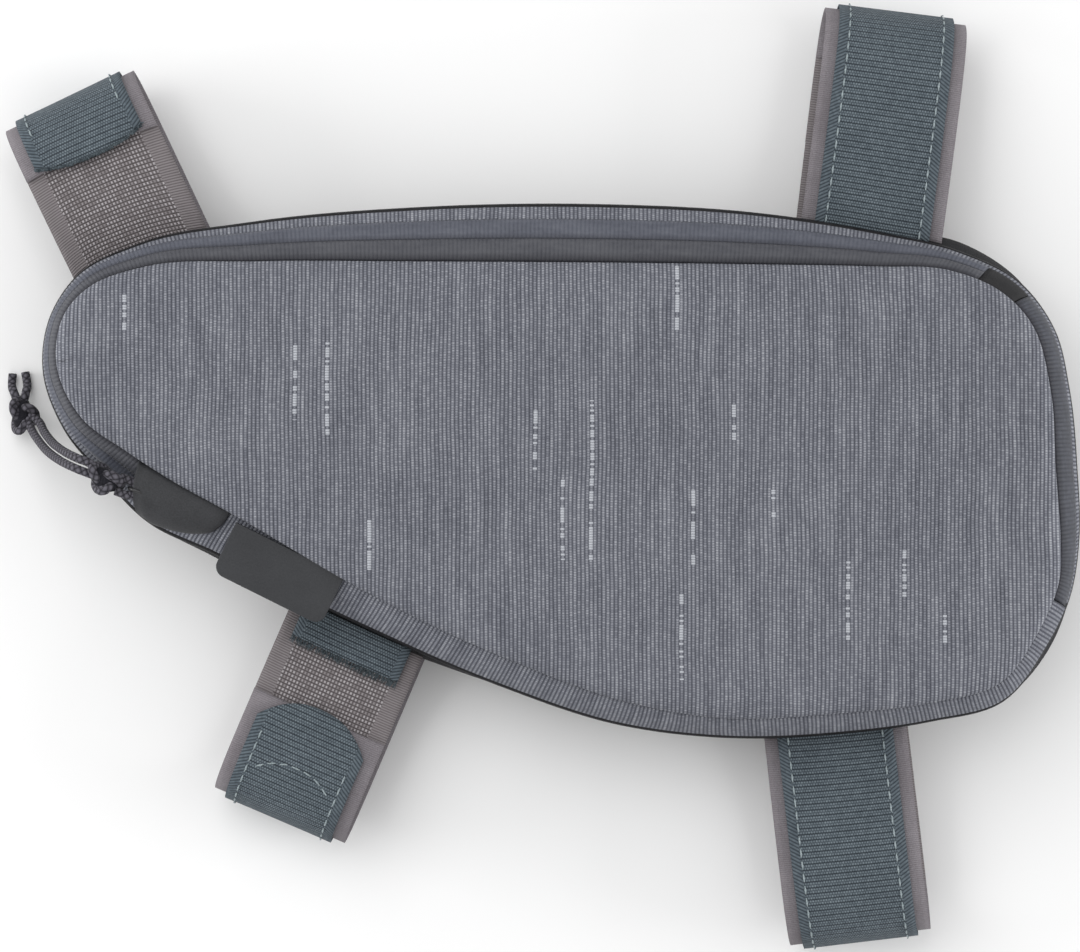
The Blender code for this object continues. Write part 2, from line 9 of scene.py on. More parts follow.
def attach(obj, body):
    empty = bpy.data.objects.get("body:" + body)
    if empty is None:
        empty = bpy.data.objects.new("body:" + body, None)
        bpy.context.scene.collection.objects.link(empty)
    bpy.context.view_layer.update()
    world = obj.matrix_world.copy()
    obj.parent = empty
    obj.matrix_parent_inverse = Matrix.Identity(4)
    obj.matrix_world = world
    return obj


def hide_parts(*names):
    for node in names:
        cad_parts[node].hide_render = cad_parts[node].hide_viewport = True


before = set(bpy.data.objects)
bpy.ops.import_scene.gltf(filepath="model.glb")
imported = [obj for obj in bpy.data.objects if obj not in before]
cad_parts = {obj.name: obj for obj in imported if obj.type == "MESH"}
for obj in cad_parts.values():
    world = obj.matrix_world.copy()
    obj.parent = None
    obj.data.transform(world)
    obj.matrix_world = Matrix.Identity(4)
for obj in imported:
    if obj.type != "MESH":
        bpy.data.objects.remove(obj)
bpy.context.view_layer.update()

# The bag was photographed from straight above with a long lens, so the camera looks down at the
# middle of the picture. Its lens takes in the picture's width at 30 mm over the table, which is
# about the height of the straps' tops.
camera_height, scale_height, picture_width = 1.2, 0.03, 0.28372
camera_data = bpy.data.cameras.new("camera")
camera_data.sensor_width = 36.0
camera_data.lens = camera_data.sensor_width * (camera_height - scale_height) / picture_width
camera_data.clip_end = 10.0
camera = bpy.data.objects.new("camera", camera_data)
camera.location = (-0.0055, -0.0013, camera_height)
bpy.context.scene.collection.objects.link(camera)
bpy.context.scene.camera = camera


# Pull cord: a braided grey cord doubled through the zip's pull link, knotted close to it and
# again near its two ends. It droops over the bag's edge, and its outer knot and tails lie on
# the table. The bight and the knots are separate pieces that the two strands run into.
cord_width = 0.0023
strand_spacing = 0.0026
inner_knot = Vector((-0.1187, -0.0022, 0.0414))
outer_knot = Vector((-0.1442, 0.0150, 0.0052))
inner_knot_size = (0.0104, 0.0078, 0.0068)
outer_knot_size = (0.0104, 0.0082, 0.0076)
strand_route = (
    (-0.1233, 0.0009, 0.0412), (-0.1262, 0.0020, 0.0400), (-0.1303, 0.0037, 0.0335),
    (-0.1345, 0.0060, 0.0240), (-0.1380, 0.0090, 0.0150), (-0.1408, 0.0126, 0.0081),
)
tail_routes = (
    ((-0.1464, 0.0204, 0.0044), (-0.1475, 0.0228, 0.0020), (-0.1474, 0.0262, 0.0015)),
    ((-0.1436, 0.0207, 0.0044), (-0.1434, 0.0232, 0.0021), (-0.1440, 0.0266, 0.0016)),
)


def fit(piece, slot, *nodes):
    """Put a finished piece in the scene, in place of its plain solids."""
    bpy.context.scene.collection.objects.link(piece)
    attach(piece, "root")
    if nodes:
        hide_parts(*nodes)
    return piece


def smooth_line(points, count):
    rows = np.array(points, dtype=float)
    slopes = np.gradient(rows, axis=0)
    line = []
    for place in np.linspace(0, len(rows) - 1, count):
        row = min(int(place), len(rows) - 2)
        t = place - row
        line.append((2 * t**3 - 3 * t**2 + 1) * rows[row] + (t**3 - 2 * t**2 + t) * slopes[row]
                    + (3 * t**2 - 2 * t**3) * rows[row + 1] + (t**3 - t**2) * slopes[row + 1])
    return np.array(line)


class Finish:
    """One material's nodes, wired by short calls."""

    def __init__(self, name):
        self.material = bpy.data.materials.new(name)
        self.material.use_nodes = True
        self.tree = self.material.node_tree
        self.shader = self.tree.nodes["Principled BSDF"]

    def node(self, kind, inputs=(), output=0, **values):
        made = self.tree.nodes.new(kind)
        for key, value in values.items():
            setattr(made, key, value)
        for key, value in dict(inputs).items():
            self.put(made.inputs[key], value)
        return made.outputs[output]

    def put(self, socket, value):
        if isinstance(value, bpy.types.NodeSocket):
            self.tree.links.new(value, socket)
        elif isinstance(value, tuple) and socket.type == "RGBA":
            socket.default_value = (*value, 1.0)
        else:
            socket.default_value = value

    def calc(self, operation, first, second=0.0, third=0.0):
        return self.node("ShaderNodeMath", {0: first, 1: second, 2: third}, operation=operation)

    def add(self, first, second):
        return self.calc("ADD", first, second)

    def times(self, first, second):
        return self.calc("MULTIPLY", first, second)

    def over(self, first, second):
        return self.calc("DIVIDE", first, second)

    def floor(self, value):
        return self.calc("FLOOR", value)

    def arch(self, value, power=1.0):
        """A hump of 0 to 1 to 0 over each whole step of the value."""
        hump = self.calc("ABSOLUTE", self.calc("SINE", self.times(value, math.pi)))
        return self.calc("POWER", hump, power)

    def where(self, output="Object"):
        place = self.node("ShaderNodeTexCoord", output=output)
        split = self.tree.nodes.new("ShaderNodeSeparateXYZ")
        self.tree.links.new(place, split.inputs[0])
        return split.outputs[0], split.outputs[1], split.outputs[2]

    def point(self, x, y=0.0, z=0.0):
        return self.node("ShaderNodeCombineXYZ", {0: x, 1: y, 2: z})

    def noise(self, place, scale, detail=2.0, roughness=0.5):
        return self.node("ShaderNodeTexNoise", {"Vector": place, "Scale": scale, "Detail": detail,
                                                "Roughness": roughness}, "Fac")

    def chance(self, x, y=0.0, z=0.0):
        return self.node("ShaderNodeTexWhiteNoise", {"Vector": self.point(x, y, z)}, "Value",
                         noise_dimensions="3D")

    def tones(self, value, *stops):
        made = self.tree.nodes.new("ShaderNodeValToRGB")
        marks = made.color_ramp.elements
        while len(marks) < len(stops):
            marks.new(0.5)
        for mark, (position, tone) in zip(marks, stops):
            mark.position = position
            mark.color = (*tone, 1.0)
        self.tree.links.new(value, made.inputs[0])
        return made.outputs[0]

    def blend(self, share, low, high):
        return self.node("ShaderNodeMix", {0: share, 6: low, 7: high}, 2, data_type="RGBA")

    def bump(self, height, depth):
        return self.node("ShaderNodeBump", {"Strength": 1.0, "Distance": depth, "Height": height})

    def done(self, colour, roughness, normal, sheen=0.0, specular=0.3):
        self.put(self.shader.inputs["Base Color"], colour)
        self.put(self.shader.inputs["Roughness"], roughness)
        self.put(self.shader.inputs["Normal"], normal)
        self.shader.inputs["Sheen Weight"].default_value = sheen
        self.shader.inputs["Sheen Roughness"].default_value = 0.4
        self.shader.inputs["Specular IOR Level"].default_value = specular
        return self.material


def braided_cord():
    f = Finish("braided cord")
    along, around, _ = f.where("UV")
    plait = f.over(along, 0.0017)
    turn = f.times(around, 3.0)
    left, right = f.arch(f.add(plait, turn), 0.6), f.arch(f.calc("SUBTRACT", plait, turn), 0.6)
    yarn = f.times(left, right)
    fluff = f.noise(f.node("ShaderNodeTexCoord", output="Object"), 2600.0, 3.0, 0.7)
    tone = f.add(f.times(yarn, 0.75), f.times(fluff, 0.35))
    colour = f.tones(tone, (0.15, (0.014, 0.014, 0.018)), (0.50, (0.062, 0.059, 0.070)),
                     (0.95, (0.135, 0.130, 0.152)))
    height = f.add(f.times(yarn, 0.8), f.times(fluff, 0.3))
    return f.done(colour, 0.88, f.bump(height, 0.0004), sheen=0.08, specular=0.10)


def tube(name, points, width, cover, closed=False, sides=12):
    """A round cord along the points, with a UV of its length and turn."""
    points = [Vector(p) for p in points]
    if closed:
        points.append(points[0])
    runs = [0.0]
    for before, after in zip(points, points[1:]):
        runs.append(runs[-1] + (after - before).length)
    rings, marks = [], []
    side = None
    for i, point in enumerate(points):
        before = points[i - 1] if i else (points[-2] if closed else points[0])
        after = points[i + 1] if i + 1 < len(points) else (points[1] if closed else points[-1])
        along = (after - before).normalized()
        side = along.orthogonal() if side is None else side - along * side.dot(along)
        side.normalize()
        up = along.cross(side)
        rings.append([point + (side * math.cos(a) + up * math.sin(a)) * width / 2
                      for a in np.linspace(0, 2 * math.pi, sides + 1)])
        marks.append([(runs[i], a) for a in np.linspace(0, 1, sides + 1)])
    if closed:
        rings[-1] = rings[0]
    made = sheet(name, rings, cover, marks=marks, weld=True)
    if not closed:
        close_ends(made)
    return made


def sheet(name, rows, cover, marks=None, weld=False, flip=False):
    """Cloth through rows of matching points, with a UV in metres along and across it."""
    rows = np.array(rows, dtype=float)
    tall, wide = rows.shape[:2]
    if marks is None:
        along = np.linalg.norm(np.diff(rows, axis=1), axis=2).mean(axis=0)
        up = np.linalg.norm(np.diff(rows, axis=0), axis=2).mean(axis=1)
        along, up = np.r_[0, np.cumsum(along)], np.r_[0, np.cumsum(up)]
        marks = [[(a, u) for a in along] for u in up]
    bm = bmesh.new()
    bmesh.ops.create_grid(bm, x_segments=wide - 1, y_segments=tall - 1, size=0.5)
    layer = bm.loops.layers.uv.new("cloth")
    for face in bm.faces:
        for corner in face.loops:
            row, column = divmod(corner.vert.index, wide)
            corner[layer].uv = marks[row][column]
    for vert in bm.verts:
        row, column = divmod(vert.index, wide)
        vert.co = rows[row, column]
    if weld:
        bmesh.ops.remove_doubles(bm, verts=bm.verts, dist=1e-7)
    if not flip:
        bmesh.ops.reverse_faces(bm, faces=bm.faces)
    return made_piece(name, bm, cover)


def made_piece(name, bm, cover, smooth=True):
    """The worked mesh as an object of one material."""
    mesh = bpy.data.meshes.new(name)
    bm.to_mesh(mesh)
    bm.free()
    if smooth:
        mesh.shade_smooth()
    mesh.materials.append(cover)
    return bpy.data.objects.new(name, mesh)


def close_ends(piece):
    bm = bmesh.new()
    bm.from_mesh(piece.data)
    bmesh.ops.holes_fill(bm, edges=[e for e in bm.edges if e.is_boundary], sides=0)
    bmesh.ops.recalc_face_normals(bm, faces=bm.faces)
    bm.to_mesh(piece.data)
    bm.free()


def join(name, pieces):
    """One piece of several meshes."""
    bm = bmesh.new()
    for piece in pieces:
        bm.from_mesh(piece.data)
    mesh = bpy.data.meshes.new(name)
    bm.to_mesh(mesh)
    bm.free()
    mesh.materials.append(pieces[0].data.materials[0])
    for piece in pieces:
        bpy.data.objects.remove(piece)
    return bpy.data.objects.new(name, mesh)


cord_cover = braided_cord()


def wound_knot(name, centre, size, heading, node):
    """An overhand knot pulled tight: two cords side by side round one closed turn."""
    turn = Matrix.Rotation(heading, 3, "Z")
    room = [s / 2 - cord_width / 2 for s in size]
    cords = []
    for share in (0.80, 1.03):
        points = []
        for t in np.linspace(0, 2 * math.pi, 90, endpoint=False):
            x = (math.sin(t) + 2 * math.sin(2 * t)) / 2.6
            y = (math.cos(t) - 2 * math.cos(2 * t)) / 2.6
            z = -math.sin(3 * t)
            local = Vector((x * room[0], y * room[1] * share, z * room[2] * share))
            points.append(centre + turn @ local)
        cords.append(tube("turn", points, cord_width * 0.94, cord_cover, closed=True))
    core = bmesh.new()
    bmesh.ops.create_uvsphere(core, u_segments=16, v_segments=10, radius=1.0)
    bmesh.ops.scale(core, vec=[r * 1.02 for r in room], verts=core.verts)
    bmesh.ops.rotate(core, matrix=turn, verts=core.verts)
    bmesh.ops.translate(core, vec=centre, verts=core.verts)
    cords.append(made_piece("core", core, cord_cover))
    made = join(name, cords)
    made.data.shade_smooth()
    return fit(made, "cord", node)


run_in = Vector((*(inner_knot - outer_knot).xy, 0.0)).normalized()
wound_knot("knot_near_link", inner_knot, inner_knot_size, math.atan2(run_in.y, run_in.x),
           "cord_knot_inner")
knot_far = wound_knot("knot_near_ends", outer_knot, outer_knot_size, math.pi / 2,
                      "cord_knot_outer")

middle_line = smooth_line(strand_route, 30)
step = np.gradient(middle_line, axis=0)
beside = np.stack((-step[:, 1], step[:, 0], 0 * step[:, 0]), axis=1)
beside /= np.linalg.norm(beside, axis=1)[:, None]
for label, side, tail in (("a", -1, tail_routes[0]), ("b", 1, tail_routes[1])):
    strand = middle_line + beside * side * strand_spacing / 2
    inside_knot = (outer_knot + Vector(tail[0])) / 2
    root = (inner_knot + Vector(strand[0])) / 2
    whole = smooth_line([root, *strand[::6], strand[-1], inside_knot, *tail], 46)
    piece = tube(f"cord_{label}", whole, cord_width, cord_cover)
    fit(piece, "cord", f"cord_strand_{label}", f"cord_tail_{label}")


# Depth wall: the black matte cloth band that gives the bag its depth, sewn between two pipings.
# Its stations are the ones that the solids use, clockwise from the narrow left end.
bag_length, bag_height = 0.2711, 0.1387
wall_top, front_rise, panel_dome = 0.0285, 0.0155, 0.0065
gap, seam_gap, piping_radius, back_piping_height = 0.0003, 0.0006, 0.0012, 0.0024
wall_bulge, panel_lap, panel_roll, border_bulge = 0.005, 0.0010, 0.005, 0.0009
# Columns: edge x and y, seam x and y as shares of half the bag, then shares of the rise, of the
# wall's bulge and of the panel's lap over the border.
stations = np.array((
    (-1.000, 0.398, -0.966, 0.408, 1.00, 0.30, 0.0), (-0.986, 0.580, -0.954, 0.573, 0.98, 0.30, 0.0),
    (-0.936, 0.731, -0.907, 0.685, 0.90, 0.30, 0.0), (-0.816, 0.852, -0.795, 0.767, 0.84, 0.30, 0.0),
    (-0.603, 0.932, -0.592, 0.786, 0.78, 0.25, 0.0), (-0.273, 0.989, -0.271, 0.786, 0.75, 0.25, 0.0),
    (0.076, 1.000, 0.074, 0.782, 0.75, 0.25, 0.0), (0.386, 0.966, 0.377, 0.775, 0.75, 0.25, 0.0),
    (0.618, 0.894, 0.603, 0.767, 0.78, 0.45, 0.0), (0.773, 0.822, 0.745, 0.752, 0.84, 0.90, 0.0),
    (0.886, 0.708, 0.846, 0.666, 0.92, 0.55, 0.0), (0.952, 0.534, 0.906, 0.528, 1.00, 0.25, 0.0),
    (0.981, 0.307, 0.936, 0.303, 1.00, 0.20, 0.0), (0.996, 0.004, 0.946, 0.004, 1.00, 0.20, 0.0),
    (1.000, -0.242, 0.955, -0.259, 1.00, 0.25, 0.0), (0.981, -0.481, 0.948, -0.446, 1.00, 0.50, 0.0),
    (0.938, -0.659, 0.906, -0.625, 1.00, 0.70, 0.0), (0.855, -0.864, 0.835, -0.798, 1.00, 0.40, 0.0),
    (0.715, -0.939, 0.701, -0.869, 1.00, 0.25, 0.0), (0.541, -0.985, 0.534, -0.906, 1.00, 0.25, 0.0),
    (0.324, -1.000, 0.319, -0.925, 1.00, 0.25, 0.0), (0.114, -0.951, 0.128, -0.865, 0.98, 0.25, 0.0),
    (-0.118, -0.803, -0.092, -0.708, 0.94, 0.35, 0.3), (-0.390, -0.572, -0.353, -0.464, 0.88, 0.75, 0.7),
    (-0.672, -0.303, -0.623, -0.154, 0.82, 0.50, 1.0), (-0.797, -0.186, -0.742, -0.026, 0.82, 0.30, 1.0),
    (-0.886, -0.011, -0.830, 0.078, 0.88, 0.30, 0.5), (-0.959, 0.163, -0.918, 0.198, 0.96, 0.30, 0.0),
))


def ring_rows(places):
    """Edge point, seam point, rise, bulge and lap at places round the bag, in metres."""
    half = (bag_length / 2, bag_height / 2)
    table = stations * (*half, *half, front_rise, wall_bulge, panel_lap)
    widths = np.linalg.norm(np.roll(table, -1, axis=0)[:, :2] - table[:, :2], axis=1)
    steps = (np.roll(table, -1, axis=0) - table) / widths[:, None]
    before = np.roll(widths, 1)
    slopes = ((np.roll(steps, 1, axis=0) * widths[:, None] + steps * before[:, None])
              / (widths + before)[:, None])
    row = np.floor(np.asarray(places) + 1e-9).astype(int)
    t = (np.asarray(places) - row)[:, None]
    row %= len(table)
    after = (row + 1) % len(table)
    width = widths[row][:, None]
    return ((2 * t**3 - 3 * t**2 + 1) * table[row] + (t**3 - 2 * t**2 + t) * width * slopes[row]
            + (3 * t**2 - 2 * t**3) * table[after] + (t**3 - t**2) * width * slopes[after])


def outward(places):
    places = np.asarray(places)
    along = ring_rows(places + 0.08)[:, :2] - ring_rows(places - 0.08)[:, :2]
    along /= np.linalg.norm(along, axis=1)[:, None]
    return np.stack((-along[:, 1], along[:, 0]), axis=1)


def raised(flat, height):
    return np.column_stack((flat, np.broadcast_to(height, len(flat))))


def round_bag(per_station=8):
    """Places all the way round, the first one again at the end."""
    return np.arange(len(stations) * per_station + 1) / per_station


def wall_heights():
    return back_piping_height + piping_radius + gap, wall_top - piping_radius - gap


def wall_line(places, share):
    low, high = wall_heights()
    rows = ring_rows(places)
    push = rows[:, 5] * math.sin(math.pi * share) - piping_radius / 3
    flat = rows[:, :2] + outward(places) * push[:, None]
    return raised(flat, low + (high - low) * share)


def thicken(piece, thickness, offset=-1.0):
    shell = piece.modifiers.new("cloth thickness", "SOLIDIFY")
    shell.thickness = thickness
    shell.offset = offset
    shell.use_even_offset = True
    shell.thickness_clamp = 1.0
    return piece


def plain_cloth(name, dark, light, pitch, roughness, sheen):
    """Close plain weave: warp and weft cross at one pitch."""
    f = Finish(name)
    along, across, _ = f.where("UV")
    warp, weft = f.arch(f.over(along, pitch)), f.arch(f.over(across, pitch))
    weave = f.calc("MAXIMUM", f.times(warp, 0.9), weft)
    cell = f.chance(f.floor(f.over(along, pitch)), f.floor(f.over(across, pitch)))
    wear = f.noise(f.node("ShaderNodeTexCoord", output="Object"), 45.0, 4.0, 0.6)
    tone = f.add(f.times(weave, 0.4), f.add(f.times(cell, 0.25), f.times(wear, 0.4)))
    colour = f.tones(tone, (0.2, dark), (0.95, light))
    rough = f.add(roughness - 0.08, f.times(wear, 0.16))
    return f.done(colour, rough, f.bump(weave, 0.00012), sheen=sheen, specular=0.12)


everywhere = round_bag()
wall_cloth = plain_cloth("black wall cloth", (0.006, 0.006, 0.007), (0.030, 0.031, 0.034),
                         0.0006, 0.80, 0.03)
wall = sheet("depth_wall_cloth", [wall_line(everywhere, s) for s in np.linspace(0, 1, 9)],
             wall_cloth, weld=True)
fit(thicken(wall, 0.0015), "black_cloth", "depth_wall")


# Pipings: thin black coated cords, slightly glossy. They are sewn along the wall's front and back
# edges, tucked into the seam by a share of their radius.
piping_tuck = 0.25


def black_piping():
    f = Finish("black piping")
    along, around, _ = f.where("UV")
    fold = f.noise(f.point(f.times(along, 260.0), f.times(around, 4.0)), 1.0, 3.0, 0.6)
    grain = f.arch(f.over(along, 0.0005))
    colour = f.tones(fold, (0.3, (0.005, 0.005, 0.006)), (0.8, (0.022, 0.022, 0.025)))
    return f.done(colour, f.add(0.38, f.times(fold, 0.2)),
                  f.bump(f.add(f.times(grain, 0.2), fold), 0.0002), specular=0.22)


piping_cover = black_piping()
for name, node, height in (("front_edge_piping", "front_piping", wall_top),
                           ("back_edge_piping", "back_piping", back_piping_height)):
    flat = ring_rows(everywhere[:-1])[:, :2] - outward(everywhere[:-1]) * piping_radius * piping_tuck
    fit(tube(name, raised(flat, height), 2 * piping_radius, piping_cover, closed=True),
        "black_piping", node)


# Back panel: a plain padded heather panel that lies against the bicycle's frame, with a rounded
# rim and a line of quilting a little way in from the piping.
# Columns of the light slubs: place along the bag, then upper and lower end.
slubs = (
    (-0.1127, 0.0467, 0.0364), (-0.0685, 0.0325, 0.0132), (-0.0605, 0.0338, 0.0093),
    (-0.0494, -0.0127, -0.0256), (-0.0068, 0.0157, 0.0002), (0.0010, -0.0023, -0.0230),
    (0.0074, 0.0183, -0.0230), (0.0296, 0.0532, 0.0364), (0.0340, -0.0049, -0.0256),
    (0.0443, 0.0183, 0.0080), (0.0306, -0.0307, -0.0540), (0.0552, -0.0049, -0.0127),
    (0.0745, -0.0230, -0.0436), (0.0882, -0.0204, -0.0333), (0.0991, -0.0346, -0.0449),
)
rib_pitch, dash_pitch = 0.00105, 0.00066


def heather_cloth(name, follow_edge, streaks=()):
    """Ribbed two-tone cloth: upright ribs, each a column of short light dashes on dark yarn."""
    f = Finish(name)
    if follow_edge:
        across, along, _ = f.where("UV")
    else:
        across, along, _ = f.where("Object")
    flat = f.point(across, along)
    sway = f.times(f.calc("SUBTRACT", f.noise(flat, 28.0, 2.0), 0.5), 0.0016)
    column = f.over(f.add(across, sway), rib_pitch)
    rib = f.floor(column)
    dash = f.add(f.over(along, dash_pitch), f.chance(rib, 3.0))
    ribs, dashes = f.arch(column, 0.9), f.arch(dash, 1.0)
    yarn = f.chance(rib, f.floor(dash), 1.0)
    rib_tone = f.noise(f.point(f.times(rib, 0.83), f.times(along, 40.0)), 1.0, 3.0, 0.65)
    wide_tone = f.noise(flat, 24.0, 3.0, 0.6)
    light = f.times(dashes, f.add(f.times(yarn, 0.24), 0.14))
    tone = f.times(ribs, f.add(light, 0.32))
    tone = f.add(tone, f.add(f.times(rib_tone, 0.55), f.times(wide_tone, 0.14)))
    tone = f.calc("SUBTRACT", tone, 0.16)
    colour = f.tones(tone, (0.10, (0.046, 0.049, 0.062)), (0.44, (0.128, 0.134, 0.160)),
                     (0.70, (0.235, 0.243, 0.275)), (1.0, (0.430, 0.440, 0.470)))
    height = f.add(f.times(ribs, 0.7), f.times(f.times(ribs, dashes), 0.5))
    if streaks:
        mask = 0.0
        for x, top, bottom in streaks:
            near = f.calc("COMPARE", rib, float(math.floor(x / rib_pitch)), 0.5)
            inside = f.calc("COMPARE", along, (top + bottom) / 2, (top - bottom) / 2)
            mask = f.add(mask, f.times(near, inside))
        broken = f.calc("GREATER_THAN", f.chance(rib, f.floor(dash), 7.0), 0.38)
        mask = f.times(f.times(mask, broken), f.add(f.times(dashes, 0.6), 0.25))
        colour = f.blend(mask, colour, (0.54, 0.56, 0.60))
    return f.done(colour, 0.85, f.bump(height, 0.00022), sheen=0.04, specular=0.12)


heather_flat = heather_cloth("heather cloth on the panel", False, slubs)
heather_strip = heather_cloth("heather cloth on the borders", True)
back_rows = []
for inset, height in ((0.0, 0.0011), (0.0002, 0.0004), (0.0010, 0.0), (0.006, 0.0), (0.0066, 0.0002),
                      (0.0072, 0.0), (0.020, 0.0)):
    flat = ring_rows(everywhere)[:, :2] - outward(everywhere) * (2 * piping_radius + gap + inset)
    back_rows.append(raised(flat, height))
centre = back_rows[-1][:, :2].mean(axis=0)
for share in (0.5, 0.995):
    back_rows.append(raised(back_rows[6][:, :2] * (1 - share) + centre * share, 0.0))
back_plain = heather_cloth("heather cloth on the back", False)
underside = sheet("underside", back_rows, back_plain, weld=True, flip=True)
topside = sheet("topside", [(row * (1, 1, -1)) + (0, 0, 0.0022) for row in back_rows[:1] + back_rows[2:3]
                            + back_rows[-2:]], back_plain, weld=True)
back = join("back_panel_cloth", [underside, topside])
close_ends(back)
back.data.shade_smooth()
fit(back, "heather_cloth", "back_panel")


# Borders: narrow heather strips between the front piping and the zip or the panel's seam, with
# the ribs running across them.
# Columns: place across the edge, then the shares of the way inward and of the rise.
edge_section = np.array(((0.00, 0.00, 0.00), (0.20, 0.02, 0.28), (0.42, 0.27, 0.55),
                         (0.68, 0.62, 0.80), (1.00, 1.00, 1.00)))
zip_edge, zip_centre, edge_slant = 0.42, 0.68, 1.2
zip_span, upper_span, lower_span = (25.0, 37.5), (25.0, 43.1), (15.2, 24.9)
patch_span, band_span = (9.50, 10.29), (10.31, 15.18)
# Half of the cut between two strips, as a share of the way across the edge.
split = 0.15 * gap / (front_rise * edge_slant)


def edge_line(places, place, lift=0.0):
    """Points on the front edge between piping and seam; lift raises them off the cloth."""
    rows, normals = ring_rows(places), outward(places)
    start = wall_top + piping_radius + gap
    inward, rise = (float(np.interp(place, edge_section[:, 0], edge_section[:, c])) for c in (1, 2))
    bulge = border_bulge * math.sin(math.pi * place) - piping_radius / 3 * (1 - inward)
    flat = rows[:, :2] + (rows[:, 2:4] - rows[:, :2]) * inward + normals * bulge
    height = start + (wall_top + rows[:, 4] - start) * rise
    lean = math.radians(25 + 45 * place)
    lift = np.broadcast_to(lift, len(flat))
    return raised(flat + normals * lift[:, None] * math.cos(lean), height + lift * math.sin(lean))


def along_span(span, per_station=8):
    return np.linspace(*span, round((span[1] - span[0]) * per_station) + 1)


def edge_strip(name, span, low, high, cover, thickness, slot, node, relief=None, rows=9,
               nominal=None):
    """A strip of the front edge; with a nominal width its UV runs to that width everywhere."""
    places = along_span(span)
    lines = []
    for place in np.linspace(low, high, rows):
        share = (place - low) / (high - low)
        lines.append(edge_line(places, place, relief(places, share) if relief else 0.0))
    marks = None
    if nominal:
        first = np.array(lines[0])
        runs = np.r_[0, np.cumsum(np.linalg.norm(np.diff(first, axis=0), axis=1))]
        marks = [[(run, share * nominal) for run in runs] for share in np.linspace(0, 1, rows)]
    piece = sheet(name, lines, cover, marks=marks)
    return fit(thicken(piece, thickness), slot, node)


def gathers(places, share):
    ripple = np.sin(places * 23.0) * np.sin(places * 9.1 + 1.3)
    return 0.00022 * ripple * math.sin(math.pi * share)


edge_strip("upper_border_cloth", upper_span, 0.0, zip_edge - split, heather_strip, 0.0012,
           "heather_cloth", "border_upper")
edge_strip("lower_border_cloth", lower_span, 0.0, 1.0, heather_strip, 0.0012, "heather_cloth",
           "border_lower", rows=13)


# Zip tapes: two coated satin tapes that meet over the hidden coil. The outer one turns up in a rounded
# ridge, the inner one shows the coil's fine ribs. Both darken into painted shade: the outer one at the
# slot between the tapes, the inner one where it runs into the seam.
ridge_height = 0.0004


def coated_tape(name, dark, mid, light, shade_from, shade_to, roughness):
    f = Finish(name)
    along, across, _ = f.where("UV")
    grain = f.noise(f.node("ShaderNodeTexCoord", output="Object"), 700.0, 4.0, 0.7)
    cloudy = f.noise(f.point(f.times(along, 60.0), f.times(across, 300.0)), 1.0, 4.0, 0.6)
    ribs = f.arch(f.over(along, 0.0011))
    tone = f.add(f.times(grain, 0.35), f.add(f.times(cloudy, 0.5), f.times(ribs, 0.12)))
    colour = f.tones(tone, (0.25, dark), (0.5, mid), (0.85, light))
    # Painted shade: this mask darkens the colour to near black over the last part of the tape's width,
    # standing in for the shade where the tape runs into the seam or into the slot between the tapes.
    sewn = f.calc("SMOOTH_MIN", 1.0, f.calc("MAXIMUM", 0.0, f.over(
        f.calc("SUBTRACT", across, shade_from), shade_to - shade_from)), 0.2)
    colour = f.blend(f.calc("MULTIPLY", sewn, 0.85), colour, (0.012, 0.012, 0.018))
    height = f.add(f.times(ribs, 0.5), f.times(cloudy, 0.5))
    return f.done(colour, f.add(roughness, f.times(cloudy, 0.2)), f.bump(height, 0.00022),
                  sheen=0.02, specular=0.28)


def outer_ridge(places, share):
    return ridge_height * math.sin(math.pi * min(1.0, share * 1.6))


def inner_ridge(places, share):
    return ridge_height * math.sin(math.pi * share) + gathers(places, share) * 0.6


# The last two numbers of each tape: where its painted shade begins and ends across its width.
outer_look = coated_tape("coated outer tape", (0.050, 0.054, 0.070), (0.088, 0.094, 0.118),
                         (0.150, 0.157, 0.184), 0.0042, 0.0068, 0.38)
inner_look = coated_tape("coated inner tape", (0.036, 0.038, 0.048), (0.074, 0.076, 0.088),
                         (0.120, 0.122, 0.134), 0.0036, 0.0058, 0.46)
edge_strip("outer_zip_tape_cloth", zip_span, zip_edge + split, zip_centre - split, outer_look,
           0.0010, "coated_zip", "zip_tape_outer", outer_ridge, nominal=0.006)
edge_strip("inner_zip_tape_cloth", zip_span, zip_centre + split, 1.0, inner_look, 0.0010,
           "coated_zip", "zip_tape_inner", inner_ridge, nominal=0.006)


# Zip end patch and side band: a black rubber patch over the zip's right end, and the dark coated
# band that runs from it down the bag's wide end.
def charcoal_rubber(name, dark, light, roughness):
    f = Finish(name)
    place = f.node("ShaderNodeTexCoord", output="Object")
    grain = f.noise(place, 2400.0, 2.0, 0.6)
    smear = f.noise(place, 70.0, 4.0, 0.6)
    tone = f.add(f.times(grain, 0.5), f.times(smear, 0.5))
    colour = f.tones(tone, (0.3, dark), (0.75, light))
    rough = f.add(roughness, f.times(smear, 0.2))
    return f.done(colour, rough, f.bump(grain, 0.00010), specular=0.18)


rubber_look = charcoal_rubber("charcoal rubber", (0.028, 0.029, 0.031), (0.060, 0.061, 0.066), 0.50)
# The side band also darkens into painted seam shade along its inner edge; its last two numbers say where
# that begins and ends.
band_look = coated_tape("coated side band", (0.020, 0.022, 0.028), (0.050, 0.053, 0.066),
                        (0.105, 0.112, 0.138), 0.0040, 0.0060, 0.50)
edge_strip("zip_end_patch_rubber", patch_span, zip_edge + split, 1.0,
           charcoal_rubber("black end patch", (0.014, 0.014, 0.015), (0.034, 0.034, 0.036), 0.55),
           0.0010, "charcoal_rubber", "zip_end_patch")
edge_strip("side_band_cloth", band_span, zip_edge + split, 1.0, band_look, 0.0014, "black_cloth",
           "side_band", inner_ridge, nominal=0.006)


